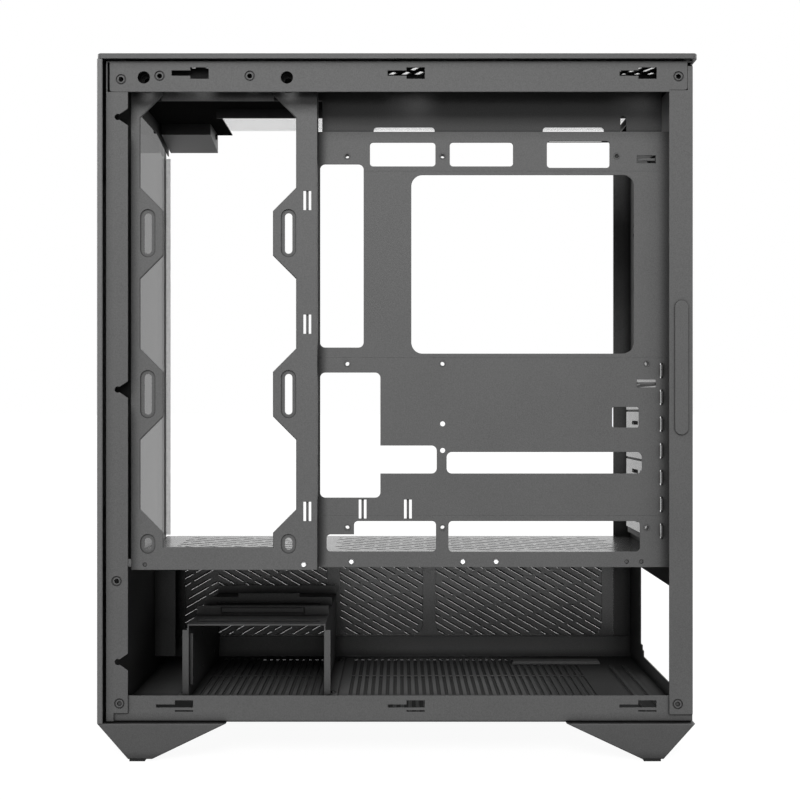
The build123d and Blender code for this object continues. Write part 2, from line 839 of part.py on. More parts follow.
# Fan bracket: one sheet with tabs between the fans, slots and both edges folded back
bracket_front = front_face + 14.9
bracket_rear = tray_front + bracket_overlap
fan_middle = bracket_front + 65.0
fan_open_half = 58.1
fan_tab_half = 40.8
tab_half_height = 16.7
tab_slope = 17.4
fan_boundary_low = shroud_top + 8.7
fan_boundary_pitch = 120.1
fan_count = 3
bracket_open_low = shroud_top + 14.7
bracket_open_high = plate_bottom - 14.0
bracket_slot_width = 5.6
bracket_slot_length = 30.3
bracket_slot_short = 9.0
slot_dish_margin = 2.8
slot_dish_depth = 0.8
dish_wall = 0.6
rim_bevel = 0.7
fan_lip = (bracket_front + 22.5, bracket_front + 106.5, plate_bottom - 24.0)
bracket_ties = [(-67.2, 273.4), (-67.2, 181.1), (-67.2, 41.3)]
bracket_rivet = (bracket_rear - 9.9, tray_bottom + 3.9)
bracket_dimple = (bracket_front + 10.3, tray_bottom + 3.9)


def opening_side(sign):
    """One side of the fan opening, from the bottom up: out at each fan, in at each tab."""
    points = [(fan_middle + sign * fan_tab_half, bracket_open_low)]
    for fan in range(fan_count):
        low = fan_boundary_low + fan * fan_boundary_pitch + tab_half_height
        high = fan_boundary_low + (fan + 1) * fan_boundary_pitch - tab_half_height
        points.append((fan_middle + sign * fan_tab_half, low))
        points.append((fan_middle + sign * fan_open_half, low + tab_slope))
        points.append((fan_middle + sign * fan_open_half, high - tab_slope))
        points.append((fan_middle + sign * fan_tab_half, high))
    points.append((fan_middle + sign * fan_tab_half, bracket_open_high))
    return points


def slot_dishes(x, margin):
    with BuildSketch(side_plane(x)) as dishes:
        for length, spots in ((bracket_slot_length, long_slots), (bracket_slot_short, short_slots)):
            with Locations(*spots):
                SlotOverall(length + 2 * margin, bracket_slot_width + 2 * margin, rotation=90)
    return dishes.sketch


fan_opening_points = opening_side(-1) + opening_side(1)[::-1]
long_slots = [
    (fan_middle + sign * fan_hole_pitch / 2, fan_boundary_low + fan * fan_boundary_pitch)
    for sign in (-1, 1)
    for fan in range(1, fan_count)
]
short_slots = [
    (fan_middle + sign * fan_hole_pitch / 2, level)
    for sign in (-1, 1)
    for level in (fan_boundary_low + 8.4, fan_boundary_low + fan_count * fan_boundary_pitch - 8.4)
]
bracket_tie_openings, bracket_tie_strips = tie_bridges(
    bracket_near,
    [(bracket_rear + 59.9 + y, shroud_top + z) for y, z in bracket_ties],
    [],
)

with BuildPart() as fan_bracket:
    with BuildSketch(side_plane(bracket_near)):
        area_between((bracket_front, tray_bottom), (bracket_rear, plate_bottom))
        with BuildLine():
            Polyline(*fan_opening_points, close=True)
        make_face(mode=Mode.SUBTRACT)
        with Locations(*long_slots):
            SlotOverall(bracket_slot_length, bracket_slot_width, rotation=90, mode=Mode.SUBTRACT)
        with Locations(*short_slots):
            SlotOverall(bracket_slot_short, bracket_slot_width, rotation=90, mode=Mode.SUBTRACT)
        with Locations(bracket_rivet, bracket_dimple):
            Circle(rivet_shank + screw_clearance, mode=Mode.SUBTRACT)
    extrude(amount=-sheet)
    # Dish pressed back round each slot, and a bevel round the fan opening
    extrude(slot_dishes(bracket_far, slot_dish_margin + dish_wall), amount=-slot_dish_depth)
    extrude(
        slot_dishes(bracket_near, slot_dish_margin), amount=-slot_dish_depth, mode=Mode.SUBTRACT
    )
    with BuildSketch(side_plane(bracket_near)):
        with Locations(*long_slots):
            SlotOverall(bracket_slot_length, bracket_slot_width, rotation=90)
        with Locations(*short_slots):
            SlotOverall(bracket_slot_short, bracket_slot_width, rotation=90)
    extrude(amount=-2 * sheet, mode=Mode.SUBTRACT)
    with BuildSketch(side_plane(bracket_near)):
        with BuildLine():
            Polyline(*fan_opening_points, close=True)
        make_face()
        offset(amount=rim_bevel, kind=Kind.INTERSECTION)
    extrude(amount=-rim_bevel, taper=45, mode=Mode.SUBTRACT)
    # Lip that hangs behind the opening's upper edge
    box_between(
        (bracket_far - sheet, fan_lip[0], fan_lip[2]), (bracket_far, fan_lip[1], plate_bottom)
    )
    # Folded-back edges: front to the post, rear to the tray
    box_between(
        (side_outer - post_width + sheet, bracket_front, shroud_top + 12.0),
        (bracket_far, bracket_front + sheet, plate_bottom),
    )
    box_between(
        (tray_near, bracket_rear - sheet, tray_bottom), (bracket_far, bracket_rear, plate_bottom)
    )
    extrude(bracket_tie_openings, amount=-sheet, mode=Mode.SUBTRACT)
    extrude(bracket_tie_strips, amount=-sheet)
save(fan_bracket.part, "fan_bracket")

# Chamber shroud: top and far wall in one folded sheet, with flanges behind tray and bracket
shroud_flange = 8.0
far_wall_rear = rear_face - far_flange_width - joint_gap
far_wall_low = floor_top + 2.0
far_window_low = bottom_rail_top + 1.5
far_window_high = shroud_top - 6.0
far_window_corner = 10.0
window_dish = 0.4
far_windows = [
    (front_face + 16.1, front_face + 148.0),
    (front_face + 159.9, front_face + 236.9),
    (front_face + 248.5, front_face + 402.9),
]
# Slits lean one way over most of the wall and the other way beside and under the drive cage:
# window, lean, then from and to along the window and in height
turned_width = 30.0
turned_height = 9.5
far_blocks = [
    (0, -1, 0.0, turned_width, 0.0, 90.0),
    (0, -1, turned_width + 1.2, 160.0, 0.0, turned_height),
    (0, 1, turned_width + 1.2, 160.0, turned_height + 1.2, 90.0),
    (1, 1, 0.0, 160.0, 0.0, 90.0),
    (2, 1, 0.0, 160.0, 0.0, 90.0),
]
top_slit_windows = [
    (front_face + 24.0, front_face + 142.0),
    (front_face + 160.0, front_face + 400.0),
]
top_slit_far = -side_outer + 12.0
top_slit_near = -4.0

with BuildPart() as psu_shroud:
    box_between(
        (-side_outer, front_inner, shroud_top - sheet), (tray_far, rear_inner, shroud_top)
    )
    box_between(
        (tray_far - sheet, front_inner, shroud_top - sheet),
        (bracket_far, bracket_rear - sheet - joint_gap, shroud_top),
    )
    box_between(
        (-side_outer, front_inner, far_wall_low), (-side_inner, far_wall_rear, shroud_top)
    )
    box_between(
        (tray_far - sheet, tray_front, shroud_top),
        (tray_far, recess_face - joint_gap, shroud_top + shroud_flange),
    )
    box_between(
        (bracket_far - sheet, bracket_front + 2.0, shroud_top),
        (bracket_far, bracket_rear - sheet - joint_gap, shroud_top + shroud_flange),
    )
    # The rear corner leaves room for the far flange of the rear panel
    with BuildSketch(Plane.XY.offset(shroud_top)):
        area_between((-side_outer, far_wall_rear), (-side_inner, rear_inner))
    extrude(amount=-sheet, mode=Mode.SUBTRACT)
    for low, high in far_windows:
        with BuildSketch(side_plane(-side_inner)):
            with Locations(((low + high) / 2, (far_window_low + far_window_high) / 2)):
                RectangleRounded(high - low, far_window_high - far_window_low, far_window_corner)
        extrude(amount=-window_dish, mode=Mode.SUBTRACT)
    for window, lean, y_from, y_to, z_from, z_to in far_blocks:
        low, high = far_windows[window]
        extrude(
            slit_field(
                side_plane(-side_inner),
                (low, far_window_low),
                (high, far_window_high),
                far_window_corner,
                angle=lean * slit_angle,
                width=far_slit_width,
                block=((low + y_from, far_window_low + z_from), (low + y_to, far_window_low + z_to)),
            ),
            amount=-sheet,
            mode=Mode.SUBTRACT,
        )
    for low, high in top_slit_windows:
        extrude(
            slit_field(
                Plane.XY.offset(shroud_top),
                (top_slit_far, low),
                (top_slit_near, high),
                4.0,
                angle=-60.0,
                pitch=shroud_slit_pitch,
            ),
            amount=-sheet,
            mode=Mode.SUBTRACT,
        )
    extrude(
        round_holes(
            side_plane(tray_far),
            [from_board(*spot) for spot in tray_rivets],
            rivet_shank + screw_clearance,
        ),
        amount=-sheet,
        mode=Mode.SUBTRACT,
    )
    extrude(
        round_holes(side_plane(bracket_far), [bracket_rivet], rivet_shank + screw_clearance),
        amount=-sheet,
        mode=Mode.SUBTRACT,
    )
save(psu_shroud.part, "psu_shroud")

# Dark dust sheets: one on the outside of the far wall, one under the floor's vents
foot_front_end = lid_front + 94.1
foot_rear_end = rear_face - 92.8
filter_thickness = 0.6
side_filter_overlap = 6.0
floor_filter_margin = 4.0
floor_filter_half = 75.0
floor_filter_far = -93.0
floor_filter_near = 102.0
floor_filter_front = cage_vent_y - cage_vent_rows * vent_pitch_y / 2 - floor_filter_margin
floor_filter_rear = psu_vent_y + psu_vent_rows * vent_pitch_y / 2 + floor_filter_margin

with BuildPart() as side_filter:
    box_between(
        (
            -side_outer - filter_thickness,
            far_windows[0][0] - side_filter_overlap,
            bottom_rail_top + joint_gap,
        ),
        (-side_outer, far_wall_rear, shroud_top),
    )
save(side_filter.part, "side_filter")

with BuildPart() as floor_filter:
    with BuildSketch(Plane.XY.offset(body_bottom)):
        area_between(
            (-floor_filter_half, floor_filter_front), (floor_filter_half, floor_filter_rear)
        )
        area_between(
            (floor_filter_far, foot_front_end + joint_gap), (floor_filter_near, foot_rear_end - joint_gap)
        )
    extrude(amount=-filter_thickness)
save(floor_filter.part, "floor_filter")

# Drive cage: a folded sheet with its near flanges turned out, feet on the floor and upright
# stiffening flanges along its top
cage_height = 58.7
cage_top = floor_top + cage_height
cage_flange = 5.0
cage_fold = 2.6
cage_fold_low = floor_top + 10.0
# Upright flanges on the top: near face, height and how far each stays from front and rear
cage_uprights = [
    (cage_near - 12.0, 1.6, 6.0),
    (cage_near - 41.5, 7.5, 0.0),
    (cage_near - 84.0, 7.5, 0.0),
    (cage_near - 84.0, 10.6, 28.0),
    (cage_near - 148.0, 7.5, 0.0),
]
# Beads pressed in the uprights: near face, place and height of the face, inset, rise
cage_beads = [
    (cage_near - 41.5, 1.2, 6.4, 20.0, 1.4),
    (cage_near - 84.0, 1.6, 3.6, 10.0, 1.0),
]
drive_hole = 1.8

with BuildPart() as drive_cage:
    with BuildSketch(side_plane(cage_far)):
        area_between((cage_front, floor_top), (cage_rear, cage_top))
        area_between(
            (cage_front + sheet, floor_top - 1.0), (cage_rear - sheet, cage_top - sheet), Mode.SUBTRACT
        )
    extrude(amount=cage_near - cage_far)
    # Near flanges turned out
    for y_low, y_high in (
        (cage_front - cage_flange + sheet, cage_front),
        (cage_rear, cage_rear + cage_flange - sheet),
    ):
        box_between(
            (cage_near - sheet, y_low, floor_top + 3.0), (cage_near, y_high, cage_top - 4.5)
        )
    # A narrow fold inside the front wall, and feet on the floor
    box_between(
        (cage_near - 4.0 - sheet, cage_front + sheet, cage_fold_low),
        (cage_near - 4.0, cage_front + sheet + cage_fold, cage_top - 8.0),
    )
    for y_low, y_high in ((cage_front - cage_foot, cage_front), (cage_rear, cage_rear + cage_foot)):
        box_between(
            (cage_far + 6.0, y_low, floor_top), (cage_near - 6.0, y_high, floor_top + sheet)
        )
    with BuildSketch(Plane.XY.offset(floor_top)):
        with Locations(*cage_screw_spots):
            Circle(cage_screw_shank + screw_clearance)
    extrude(amount=sheet, mode=Mode.SUBTRACT)
    for x, rise, inset in cage_uprights:
        box_between((x - sheet, cage_front + inset, cage_top), (x, cage_rear - inset, cage_top + rise))
    for x, low, high, inset, rise in cage_beads:
        with BuildSketch(side_plane(x)):
            area_between(
                (cage_front + inset, cage_top + low), (cage_rear - inset, cage_top + high)
            )
        extrude(amount=rise, taper=35)
    with BuildSketch(cross_plane(cage_rear)):
        for z in (floor_top + 12.0, floor_top + 40.0):
            for x in (cage_near - 20.0, cage_near - 62.0, cage_near - 122.0):
                with Locations((x, z)):
                    Circle(drive_hole)
    extrude(amount=cage_width, mode=Mode.SUBTRACT)
save(drive_cage.part, "drive_cage")

# Screws of the cage's feet
cage_screw_head = 2.6
with BuildPart() as cage_screws:
    with BuildSketch(Plane.XY.offset(floor_top + sheet)):
        with Locations(*cage_screw_spots):
            Circle(cage_screw_head)
    extrude(amount=1.4, taper=30)
    with BuildSketch(Plane.XY.offset(floor_top + sheet)):
        with Locations(*cage_screw_spots):
            Circle(cage_screw_shank)
    extrude(amount=-2 * sheet)
save(cage_screws.part, "cage_screws")

# Front glass with its edge strip and the studs that carry it
glass_bevel = 0.5
strip_width = 4.0
strip_thickness = 1.0
stud_radius = 5.0
stud_spots = [
    (side_outer - post_width / 2, shroud_top + 40.0),
    (side_outer - post_width / 2, top_rail_bottom - 60.0),
    (30.0, plate_bottom - beam_height / 2),
    (-60.0, plate_bottom - beam_height / 2),
    (70.0, body_bottom + 40.0),
    (-70.0, body_bottom + 40.0),
]

with BuildPart() as front_glass:
    box_between(
        (-lid_width / 2, lid_front, body_bottom + joint_gap),
        (lid_width / 2, glass_back, body_top - joint_gap),
    )
    chamfer(front_glass.edges().filter_by(Axis.Z), glass_bevel)
save(front_glass.part, "front_glass")

with BuildPart() as glass_edge_strip:
    box_between(
        (-lid_width / 2 + glass_bevel, glass_back, shroud_top + 1.0),
        (-lid_width / 2 + glass_bevel + strip_thickness, glass_back + strip_width, top_rail_bottom),
    )
save(glass_edge_strip.part, "glass_edge_strip")

with BuildPart() as glass_studs:
    with BuildSketch(cross_plane(front_face)):
        with Locations(*stud_spots):
            Circle(stud_radius)
    extrude(amount=glass_gap)
save(glass_studs.part, "glass_studs")

# Port housing under the corner: a hollow box with a sloping underside
housing_near = port_block_x + 21.0
housing_far = -side_inner + 0.1
housing_front = front_inner + 1.9
housing_rear = housing_front + 43.8
housing_drop_near = 9.6
housing_drop_far = 16.6
housing_wall = 1.6
board_thickness = 1.6
board_drop = 6.0
board_bottom = plate_bottom - board_drop
board_top = board_bottom + board_thickness
housing_screw = (port_block_x - 8.0, plate_bottom - 4.4)

with BuildPart() as port_housing:
    with BuildSketch(cross_plane(housing_rear)):
        with BuildLine():
            Polyline(
                (housing_far, plate_bottom),
                (housing_far, plate_bottom - housing_drop_far),
                (housing_near, plate_bottom - housing_drop_near),
                (housing_near, plate_bottom),
                close=True,
            )
        make_face()
    extrude(amount=housing_rear - housing_front)
    with BuildSketch(cross_plane(housing_rear - housing_wall)):
        with BuildLine():
            Polyline(
                (housing_far + housing_wall, plate_bottom),
                (housing_far + housing_wall, plate_bottom - housing_drop_far + 1.3 * housing_wall),
                (housing_near - housing_wall, plate_bottom - housing_drop_near + housing_wall),
                (housing_near - housing_wall, plate_bottom),
                close=True,
            )
        make_face()
    extrude(amount=housing_rear - housing_front - 2 * housing_wall, mode=Mode.SUBTRACT)
    # Ledges that carry the board, front and rear
    box_between(
        (housing_far + housing_wall, housing_front + housing_wall, board_bottom - 2.0),
        (housing_near - housing_wall, housing_front + housing_wall + 2.0, board_bottom),
    )
    box_between(
        (housing_far + housing_wall, housing_rear - housing_wall - 2.0, board_bottom - 2.0),
        (housing_near - housing_wall, housing_rear - housing_wall, board_bottom),
    )
save(port_housing.part, "port_housing")

board_gap = 0.3
with BuildPart() as port_board:
    box_between(
        (housing_far + housing_wall + board_gap, housing_front + housing_wall + board_gap, board_bottom),
        (housing_near - housing_wall - board_gap, housing_rear - housing_wall - board_gap, board_top),
    )
save(port_board.part, "port_board")

# Ports stand on the board and end just under the lid's top face
port_top = case_height - 0.4
usb_wall = 0.6
usb_depth = 8.5
for number, spot in enumerate(usb_spots, start=1):
    with BuildPart() as usb_port:
        with BuildSketch(Plane.XY.offset(board_top)):
            with Locations(spot):
                Rectangle(usb_length, usb_width)
        extrude(amount=port_top - board_top)
        with BuildSketch(Plane.XY.offset(port_top)):
            with Locations(spot):
                Rectangle(usb_length - 2 * usb_wall, usb_width - 2 * usb_wall)
                Rectangle(usb_length - 4 * usb_wall, usb_width / 3, mode=Mode.SUBTRACT)
        extrude(amount=-usb_depth, mode=Mode.SUBTRACT)
    save(usb_port.part, "usb_port_" + str(number))

jack_bore = 1.8
with BuildPart() as audio_jack:
    with BuildSketch(Plane.XY.offset(board_top)):
        with Locations(jack_spot):
            Circle(jack_radius)
    extrude(amount=port_top - board_top)
    with BuildSketch(Plane.XY.offset(port_top)):
        with Locations(jack_spot):
            Circle(jack_bore)
    extrude(amount=-usb_depth, mode=Mode.SUBTRACT)
save(audio_jack.part, "audio_jack")

# Buttons: a cap in the lid, a flange that keeps it in, and a stem over its switch
button_travel = 0.8
button_play = 0.3
button_flange = 1.2
flange_thickness = 1.2
switch_height = 0.8
stem_low = board_top + switch_height + button_travel + button_play
flange_top = case_height - lid_skin - button_play
button_parts = {"power_button": (power_spot, power_radius), "reset_button": (reset_spot, reset_radius)}
for name, (spot, radius) in button_parts.items():
    with BuildPart() as button:
        with BuildSketch(Plane.XY.offset(flange_top - flange_thickness)):
            with Locations(spot):
                Circle(radius)
        extrude(amount=port_top - flange_top + flange_thickness)
        fillet(button.edges().sort_by(Axis.Z)[-1], 0.5)
        with BuildSketch(Plane.XY.offset(flange_top - flange_thickness)):
            with Locations(spot):
                Circle(radius + button_flange)
        extrude(amount=flange_thickness)
        with BuildSketch(Plane.XY.offset(stem_low)):
            with Locations(spot):
                Circle(radius / 2)
        extrude(amount=flange_top - flange_thickness - stem_low)
    save(button.part, name)

with BuildPart() as button_switches:
    with BuildSketch(Plane.XY.offset(board_top)):
        for spot in (power_spot, reset_spot):
            with Locations(spot):
                Rectangle(4.5, 4.5)
    extrude(amount=switch_height)
save(button_switches.part, "button_switches")

with BuildPart() as housing_screw_part:
    with BuildSketch(cross_plane(housing_rear)):
        with Locations(housing_screw):
            Circle(2.6)
    extrude(amount=-1.6)
    fillet(housing_screw_part.edges().sort_by(Axis.Y)[-1], 0.8)
save(housing_screw_part.part, "housing_screw")

# Slot covers: bent strips over the slots, tongue in the tray and tab on the ledge
cover_slot_length = 24.0
cover_slot_width = 3.2
cover_slot_pitch = 32.0
cover_near = tray_far - joint_gap
tongue_end = tray_near + 1.8
tab_face = ledge_x - sheet
screw_head_radius = 3.3
screw_head_height = 2.0
screw_length = 3.6

for number, level in enumerate(slot_levels, start=1):
    with BuildPart() as slot_cover:
        with BuildSketch(cross_plane(recess_face)):
            area_between(
                (tab_face - cover_thickness, level - cover_width / 2),
                (cover_near - 6.0, level + cover_width / 2),
            )
            area_between(
                (cover_near - 7.0, level - tongue_width / 2), (tongue_end, level + tongue_width / 2)
            )
            with Locations(((slot_near + slot_near - slot_length) / 2, level)):
                with GridLocations(cover_slot_pitch, 1.0, 3, 1):
                    SlotOverall(cover_slot_length, cover_slot_width, mode=Mode.SUBTRACT)
        extrude(amount=cover_thickness)
        box_between(
            (tab_face - cover_thickness, recess_face - cover_thickness, level - cover_width / 2),
            (tab_face, recess_face + cover_tab_depth, level + cover_width / 2),
        )
        extrude(
            round_holes(
                side_plane(tab_face), [(cover_screw_y, level)], cover_screw_radius + screw_clearance
            ),
            amount=-cover_thickness,
            mode=Mode.SUBTRACT,
        )
    save(slot_cover.part, "slot_cover_" + str(number))

with BuildPart() as cover_screws:
    with BuildSketch(side_plane(tab_face - cover_thickness)):
        with Locations(*[(cover_screw_y, z) for z in slot_levels]):
            Circle(screw_head_radius)
    extrude(amount=-screw_head_height)
    with BuildSketch(side_plane(tab_face - cover_thickness)):
        with Locations(*[(cover_screw_y, z) for z in slot_levels]):
            Circle(cover_screw_radius)
    extrude(amount=screw_length)
save(cover_screws.part, "cover_screws")

# Standoffs: hexagon posts on the far face of the tray, pressed through it and bored
standoff_hex = 3.2
standoff_shank_gap = 0.05
standoff_bore = 1.6
standoff_rim = 2.3
standoff_rim_height = 0.2

with BuildPart() as standoffs:
    with BuildSketch(side_plane(tray_far)):
        with Locations(*standoff_spots):
            RegularPolygon(standoff_hex, 6)
    extrude(amount=-standoff_height)
    with BuildSketch(side_plane(tray_far)):
        with Locations(*standoff_spots):
            Circle(standoff_hole - standoff_shank_gap)
    extrude(amount=sheet)
    with BuildSketch(side_plane(tray_near)):
        with Locations(*standoff_spots):
            Circle(standoff_rim)
    extrude(amount=standoff_rim_height)
    extrude(
        round_holes(side_plane(tray_far - standoff_height), standoff_spots, standoff_bore),
        amount=standoff_height + sheet + standoff_rim_height,
        mode=Mode.SUBTRACT,
    )
save(standoffs.part, "standoffs")

# Rivets that join tray and bracket to the shroud's flanges
rivet_head = 2.2
rivet_head_height = 0.9

with BuildPart() as flange_rivets:
    for near, spots in (
        (tray_near, [from_board(*spot) for spot in tray_rivets]),
        (bracket_near, [bracket_rivet]),
    ):
        with BuildSketch(side_plane(near)):
            with Locations(*spots):
                Circle(rivet_head)
        extrude(amount=rivet_head_height, taper=35)
        with BuildSketch(side_plane(near)):
            with Locations(*spots):
                Circle(rivet_shank)
        extrude(amount=-2 * sheet)
save(flange_rivets.part, "flange_rivets")

# Feet: angular wedges under the corners, each with a rubber pad let into its sole
foot_width = 36.0
foot_chamfer = 0.6
pad_thickness = 2.7
pad_sink = 1.0
pad_depth_x = 26.0
pad_edge = 0.6
sole = pad_thickness - pad_sink
foot_profiles = {
    "front": (lid_front, lid_front + 22.6, lid_front + 40.3, foot_front_end, 23.6, 34.9),
    "rear": (rear_face + 1.2, rear_face - 22.0, rear_face - 37.7, foot_rear_end, -23.9, -36.3),
}
for end, (y_out, y_sole_out, y_sole_in, y_in, pad_from, pad_to) in foot_profiles.items():
    for side, sign in (("near", 1), ("far", -1)):
        x_out = sign * lid_width / 2
        x_in = x_out - sign * foot_width
        corner = lid_front if end == "front" else rear_face
        pad_out = x_out - sign * pad_edge
        pad_in = pad_out - sign * pad_depth_x
        pad_low = (min(pad_in, pad_out), corner + min(pad_from, pad_to))
        pad_high = (max(pad_in, pad_out), corner + max(pad_from, pad_to))
        with BuildPart() as foot:
            with BuildSketch(side_plane(min(x_in, x_out))):
                with BuildLine():
                    Polyline(
                        (y_out, body_bottom),
                        (y_sole_out, sole),
                        (y_sole_in, sole),
                        (y_in, body_bottom),
                        close=True,
                    )
                make_face()
            extrude(amount=foot_width)
            chamfer(foot.faces().sort_by(Axis.X)[-1 if sign > 0 else 0].edges(), foot_chamfer)
            with BuildSketch(Plane.XY.offset(sole)):
                area_between(pad_low, pad_high)
            extrude(amount=pad_sink, mode=Mode.SUBTRACT)
        save(foot.part, "foot_" + end + "_" + side)
        with BuildPart() as foot_pad:
            box_between((pad_low[0], pad_low[1], 0.0), (pad_high[0], pad_high[1], pad_thickness))
        save(foot_pad.part, "foot_pad_" + end + "_" + side)
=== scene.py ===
import math
import bpy
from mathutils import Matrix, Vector
from mathutils.geometry import delaunay_2d_cdt


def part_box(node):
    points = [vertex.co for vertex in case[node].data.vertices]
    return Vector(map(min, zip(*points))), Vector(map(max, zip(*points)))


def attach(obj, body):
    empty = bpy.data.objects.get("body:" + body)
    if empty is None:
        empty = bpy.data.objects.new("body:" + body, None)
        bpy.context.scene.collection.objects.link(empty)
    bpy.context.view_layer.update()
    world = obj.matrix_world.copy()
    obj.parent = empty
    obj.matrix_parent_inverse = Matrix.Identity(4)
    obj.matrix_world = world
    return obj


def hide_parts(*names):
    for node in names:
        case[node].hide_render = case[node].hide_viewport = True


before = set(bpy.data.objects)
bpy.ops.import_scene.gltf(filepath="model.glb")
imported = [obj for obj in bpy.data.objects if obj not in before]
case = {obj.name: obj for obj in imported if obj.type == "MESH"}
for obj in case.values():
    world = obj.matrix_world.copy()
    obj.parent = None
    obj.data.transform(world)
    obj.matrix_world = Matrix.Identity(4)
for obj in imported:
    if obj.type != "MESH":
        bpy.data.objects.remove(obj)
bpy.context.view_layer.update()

# The room: a white studio floor that runs to the horizon, a white surround and soft lamps.
# The camera, mirrors and glass see the floor and the surround as pure white. The floor still takes
# the case's soft shadow, and the light that both send back to the case is weak.


class Wire:
    """One socket of a shader tree. Python's operators on it add Math nodes."""

    def __init__(self, tree, socket=None):
        self.tree = tree
        self.socket = socket

    def node(self, kind, settings, sockets, output=0):
        """Adds a node, sets it up, then fills or links its sockets. Gives one of its outputs."""
        made = self.tree.nodes.new(kind)
        for name, value in settings.items():
            if name == "stops":
                for element, (position, tone) in zip(made.color_ramp.elements, value):
                    element.position = position
                    element.color = opaque(tone)
            else:
                setattr(made, name, value)
        for name, value in sockets.items():
            if isinstance(value, Wire):
                self.tree.links.new(value.socket, made.inputs[name])
            else:
                made.inputs[name].default_value = value
        return Wire(self.tree, made.outputs[output] if len(made.outputs) else None)

    def out(self, name):
        """Another output of the node that this socket is on."""
        return Wire(self.tree, self.socket.node.outputs[name])

    def maths(self, operation, left, right):
        return self.node("ShaderNodeMath", {"operation": operation}, {0: left, 1: right})

    def mixed(self, shader, other):
        """A Mix Shader with this socket as its factor."""
        return self.node("ShaderNodeMixShader", {}, {0: self, 1: shader, 2: other})

    def faded(self, start_at, end_at, first, last, easing="LINEAR"):
        """first up to start_at, last from end_at on, and a fade between them."""
        ends = {"From Min": start_at, "From Max": end_at, "To Min": first, "To Max": last}
        return self.node("ShaderNodeMapRange", {"interpolation_type": easing}, {"Value": self, **ends})

    def __add__(self, other):
        return self.maths("ADD", self, other)

    def __radd__(self, other):
        return self.maths("ADD", other, self)

    def __sub__(self, other):
        return self.maths("SUBTRACT", self, other)

    def __rsub__(self, other):
        return self.maths("SUBTRACT", other, self)

    def __mul__(self, other):
        return self.maths("MULTIPLY", self, other)

    def __rmul__(self, other):
        return self.maths("MULTIPLY", other, self)

    def __gt__(self, other):
        return self.maths("GREATER_THAN", self, other)

    def __lt__(self, other):
        return self.maths("LESS_THAN", self, other)

    def __abs__(self):
        return self.node("ShaderNodeMath", {"operation": "ABSOLUTE"}, {0: self})


def opaque(tone):
    """A grey, or a colour of three values, as the four values that a colour socket takes."""
    colour = tone if isinstance(tone, tuple) else (tone, tone, tone)
    return (*colour, 1.0)


def blank_material(name):
    """A material with an empty shader tree, and the wire that its nodes start from."""
    material = bpy.data.materials.new(name)
    material.use_nodes = True
    material.node_tree.nodes.clear()
    return material, Wire(material.node_tree)


def seen_directly(start):
    """1 for the camera, in mirrors and through glass; 0 for the light that falls on things."""
    path = start.node("ShaderNodeLightPath", {}, {})
    camera_or_mirror = start.maths("MAXIMUM", path.out("Is Camera Ray"), path.out("Is Glossy Ray"))
    return start.maths("MAXIMUM", camera_or_mirror, path.out("Is Transmission Ray"))


floor_reach = 60.0
floor_white = 0.9
floor_bounce = 0.10
floor_glow = 1.07
shadow_near = 0.35
shadow_far = 0.8
shadow_depth = 0.12

floor_corners = [
    (-floor_reach, -floor_reach, 0),
    (floor_reach, -floor_reach, 0),
    (floor_reach, floor_reach, 0),
    (-floor_reach, floor_reach, 0),
]
floor_mesh = bpy.data.meshes.new("studio_floor")
floor_mesh.from_pydata(floor_corners, [], [(0, 1, 2, 3)])
studio_floor = bpy.data.objects.new("studio_floor", floor_mesh)
bpy.context.collection.objects.link(studio_floor)
floor_paint, start = blank_material("studio_floor")
place = start.node("ShaderNodeTexCoord", {}, {}, "Object")
from_case = start.node("ShaderNodeVectorMath", {"operation": "LENGTH"}, {0: place}, "Value")
shadow_share = from_case.faded(shadow_near, shadow_far, shadow_depth, 0.0, "SMOOTHSTEP")
lit_floor = start.node("ShaderNodeBsdfDiffuse", {}, {"Color": opaque(floor_white)})
dim_floor = start.node("ShaderNodeBsdfDiffuse", {}, {"Color": opaque(floor_bounce)})
white_floor = start.node("ShaderNodeEmission", {}, {"Color": opaque(1.0), "Strength": floor_glow})
shown_floor = (1 - shadow_share).mixed(lit_floor, white_floor)
floor_mix = seen_directly(start).mixed(dim_floor, shown_floor)
start.node("ShaderNodeOutputMaterial", {}, {"Surface": floor_mix})
floor_mesh.materials.append(floor_paint)

surround_light = 0.035
surround_white = 1.0
surround = bpy.data.worlds.new("studio_surround")
surround.use_nodes = True
surround.node_tree.nodes.clear()
start = Wire(surround.node_tree)
soft = start.node("ShaderNodeBackground", {}, {"Color": opaque(1.0), "Strength": surround_light})
white = start.node("ShaderNodeBackground", {}, {"Color": opaque(1.0), "Strength": surround_white})
start.node("ShaderNodeOutputWorld", {}, {"Surface": seen_directly(start).mixed(soft, white)})
bpy.context.scene.world = surround
bpy.context.scene.view_settings.view_transform = "Standard"

lamp_aim = Vector((0.0, 0.0, 0.26))


def soft_box(name, place, width, height, power):
    """A soft lamp that looks at the middle of the case and stays out of the camera's sight."""
    lamp = bpy.data.lights.new(name, "AREA")
    lamp.shape = "RECTANGLE"
    lamp.size = width
    lamp.size_y = height
    lamp.energy = power
    holder = bpy.data.objects.new(name, lamp)
    holder.location = place
    holder.rotation_euler = (lamp_aim - Vector(place)).to_track_quat("-Z", "Y").to_euler()
    holder.visible_camera = False
    bpy.context.collection.objects.link(holder)


soft_box("key_light", (2.1, -0.25, 1.75), width=1.3, height=1.2, power=59.0)
soft_box("front_light", (2.8, 0.05, 0.45), width=0.5, height=0.5, power=10.5)
soft_box("back_light", (-2.0, 0.6, 2.1), width=1.3, height=1.3, power=26.0)
soft_box("front_fill", (-0.4, -2.6, 1.3), width=1.3, height=1.2, power=38.0)
soft_box("rear_fill", (-0.4, 2.6, 1.3), width=1.3, height=1.2, power=38.0)

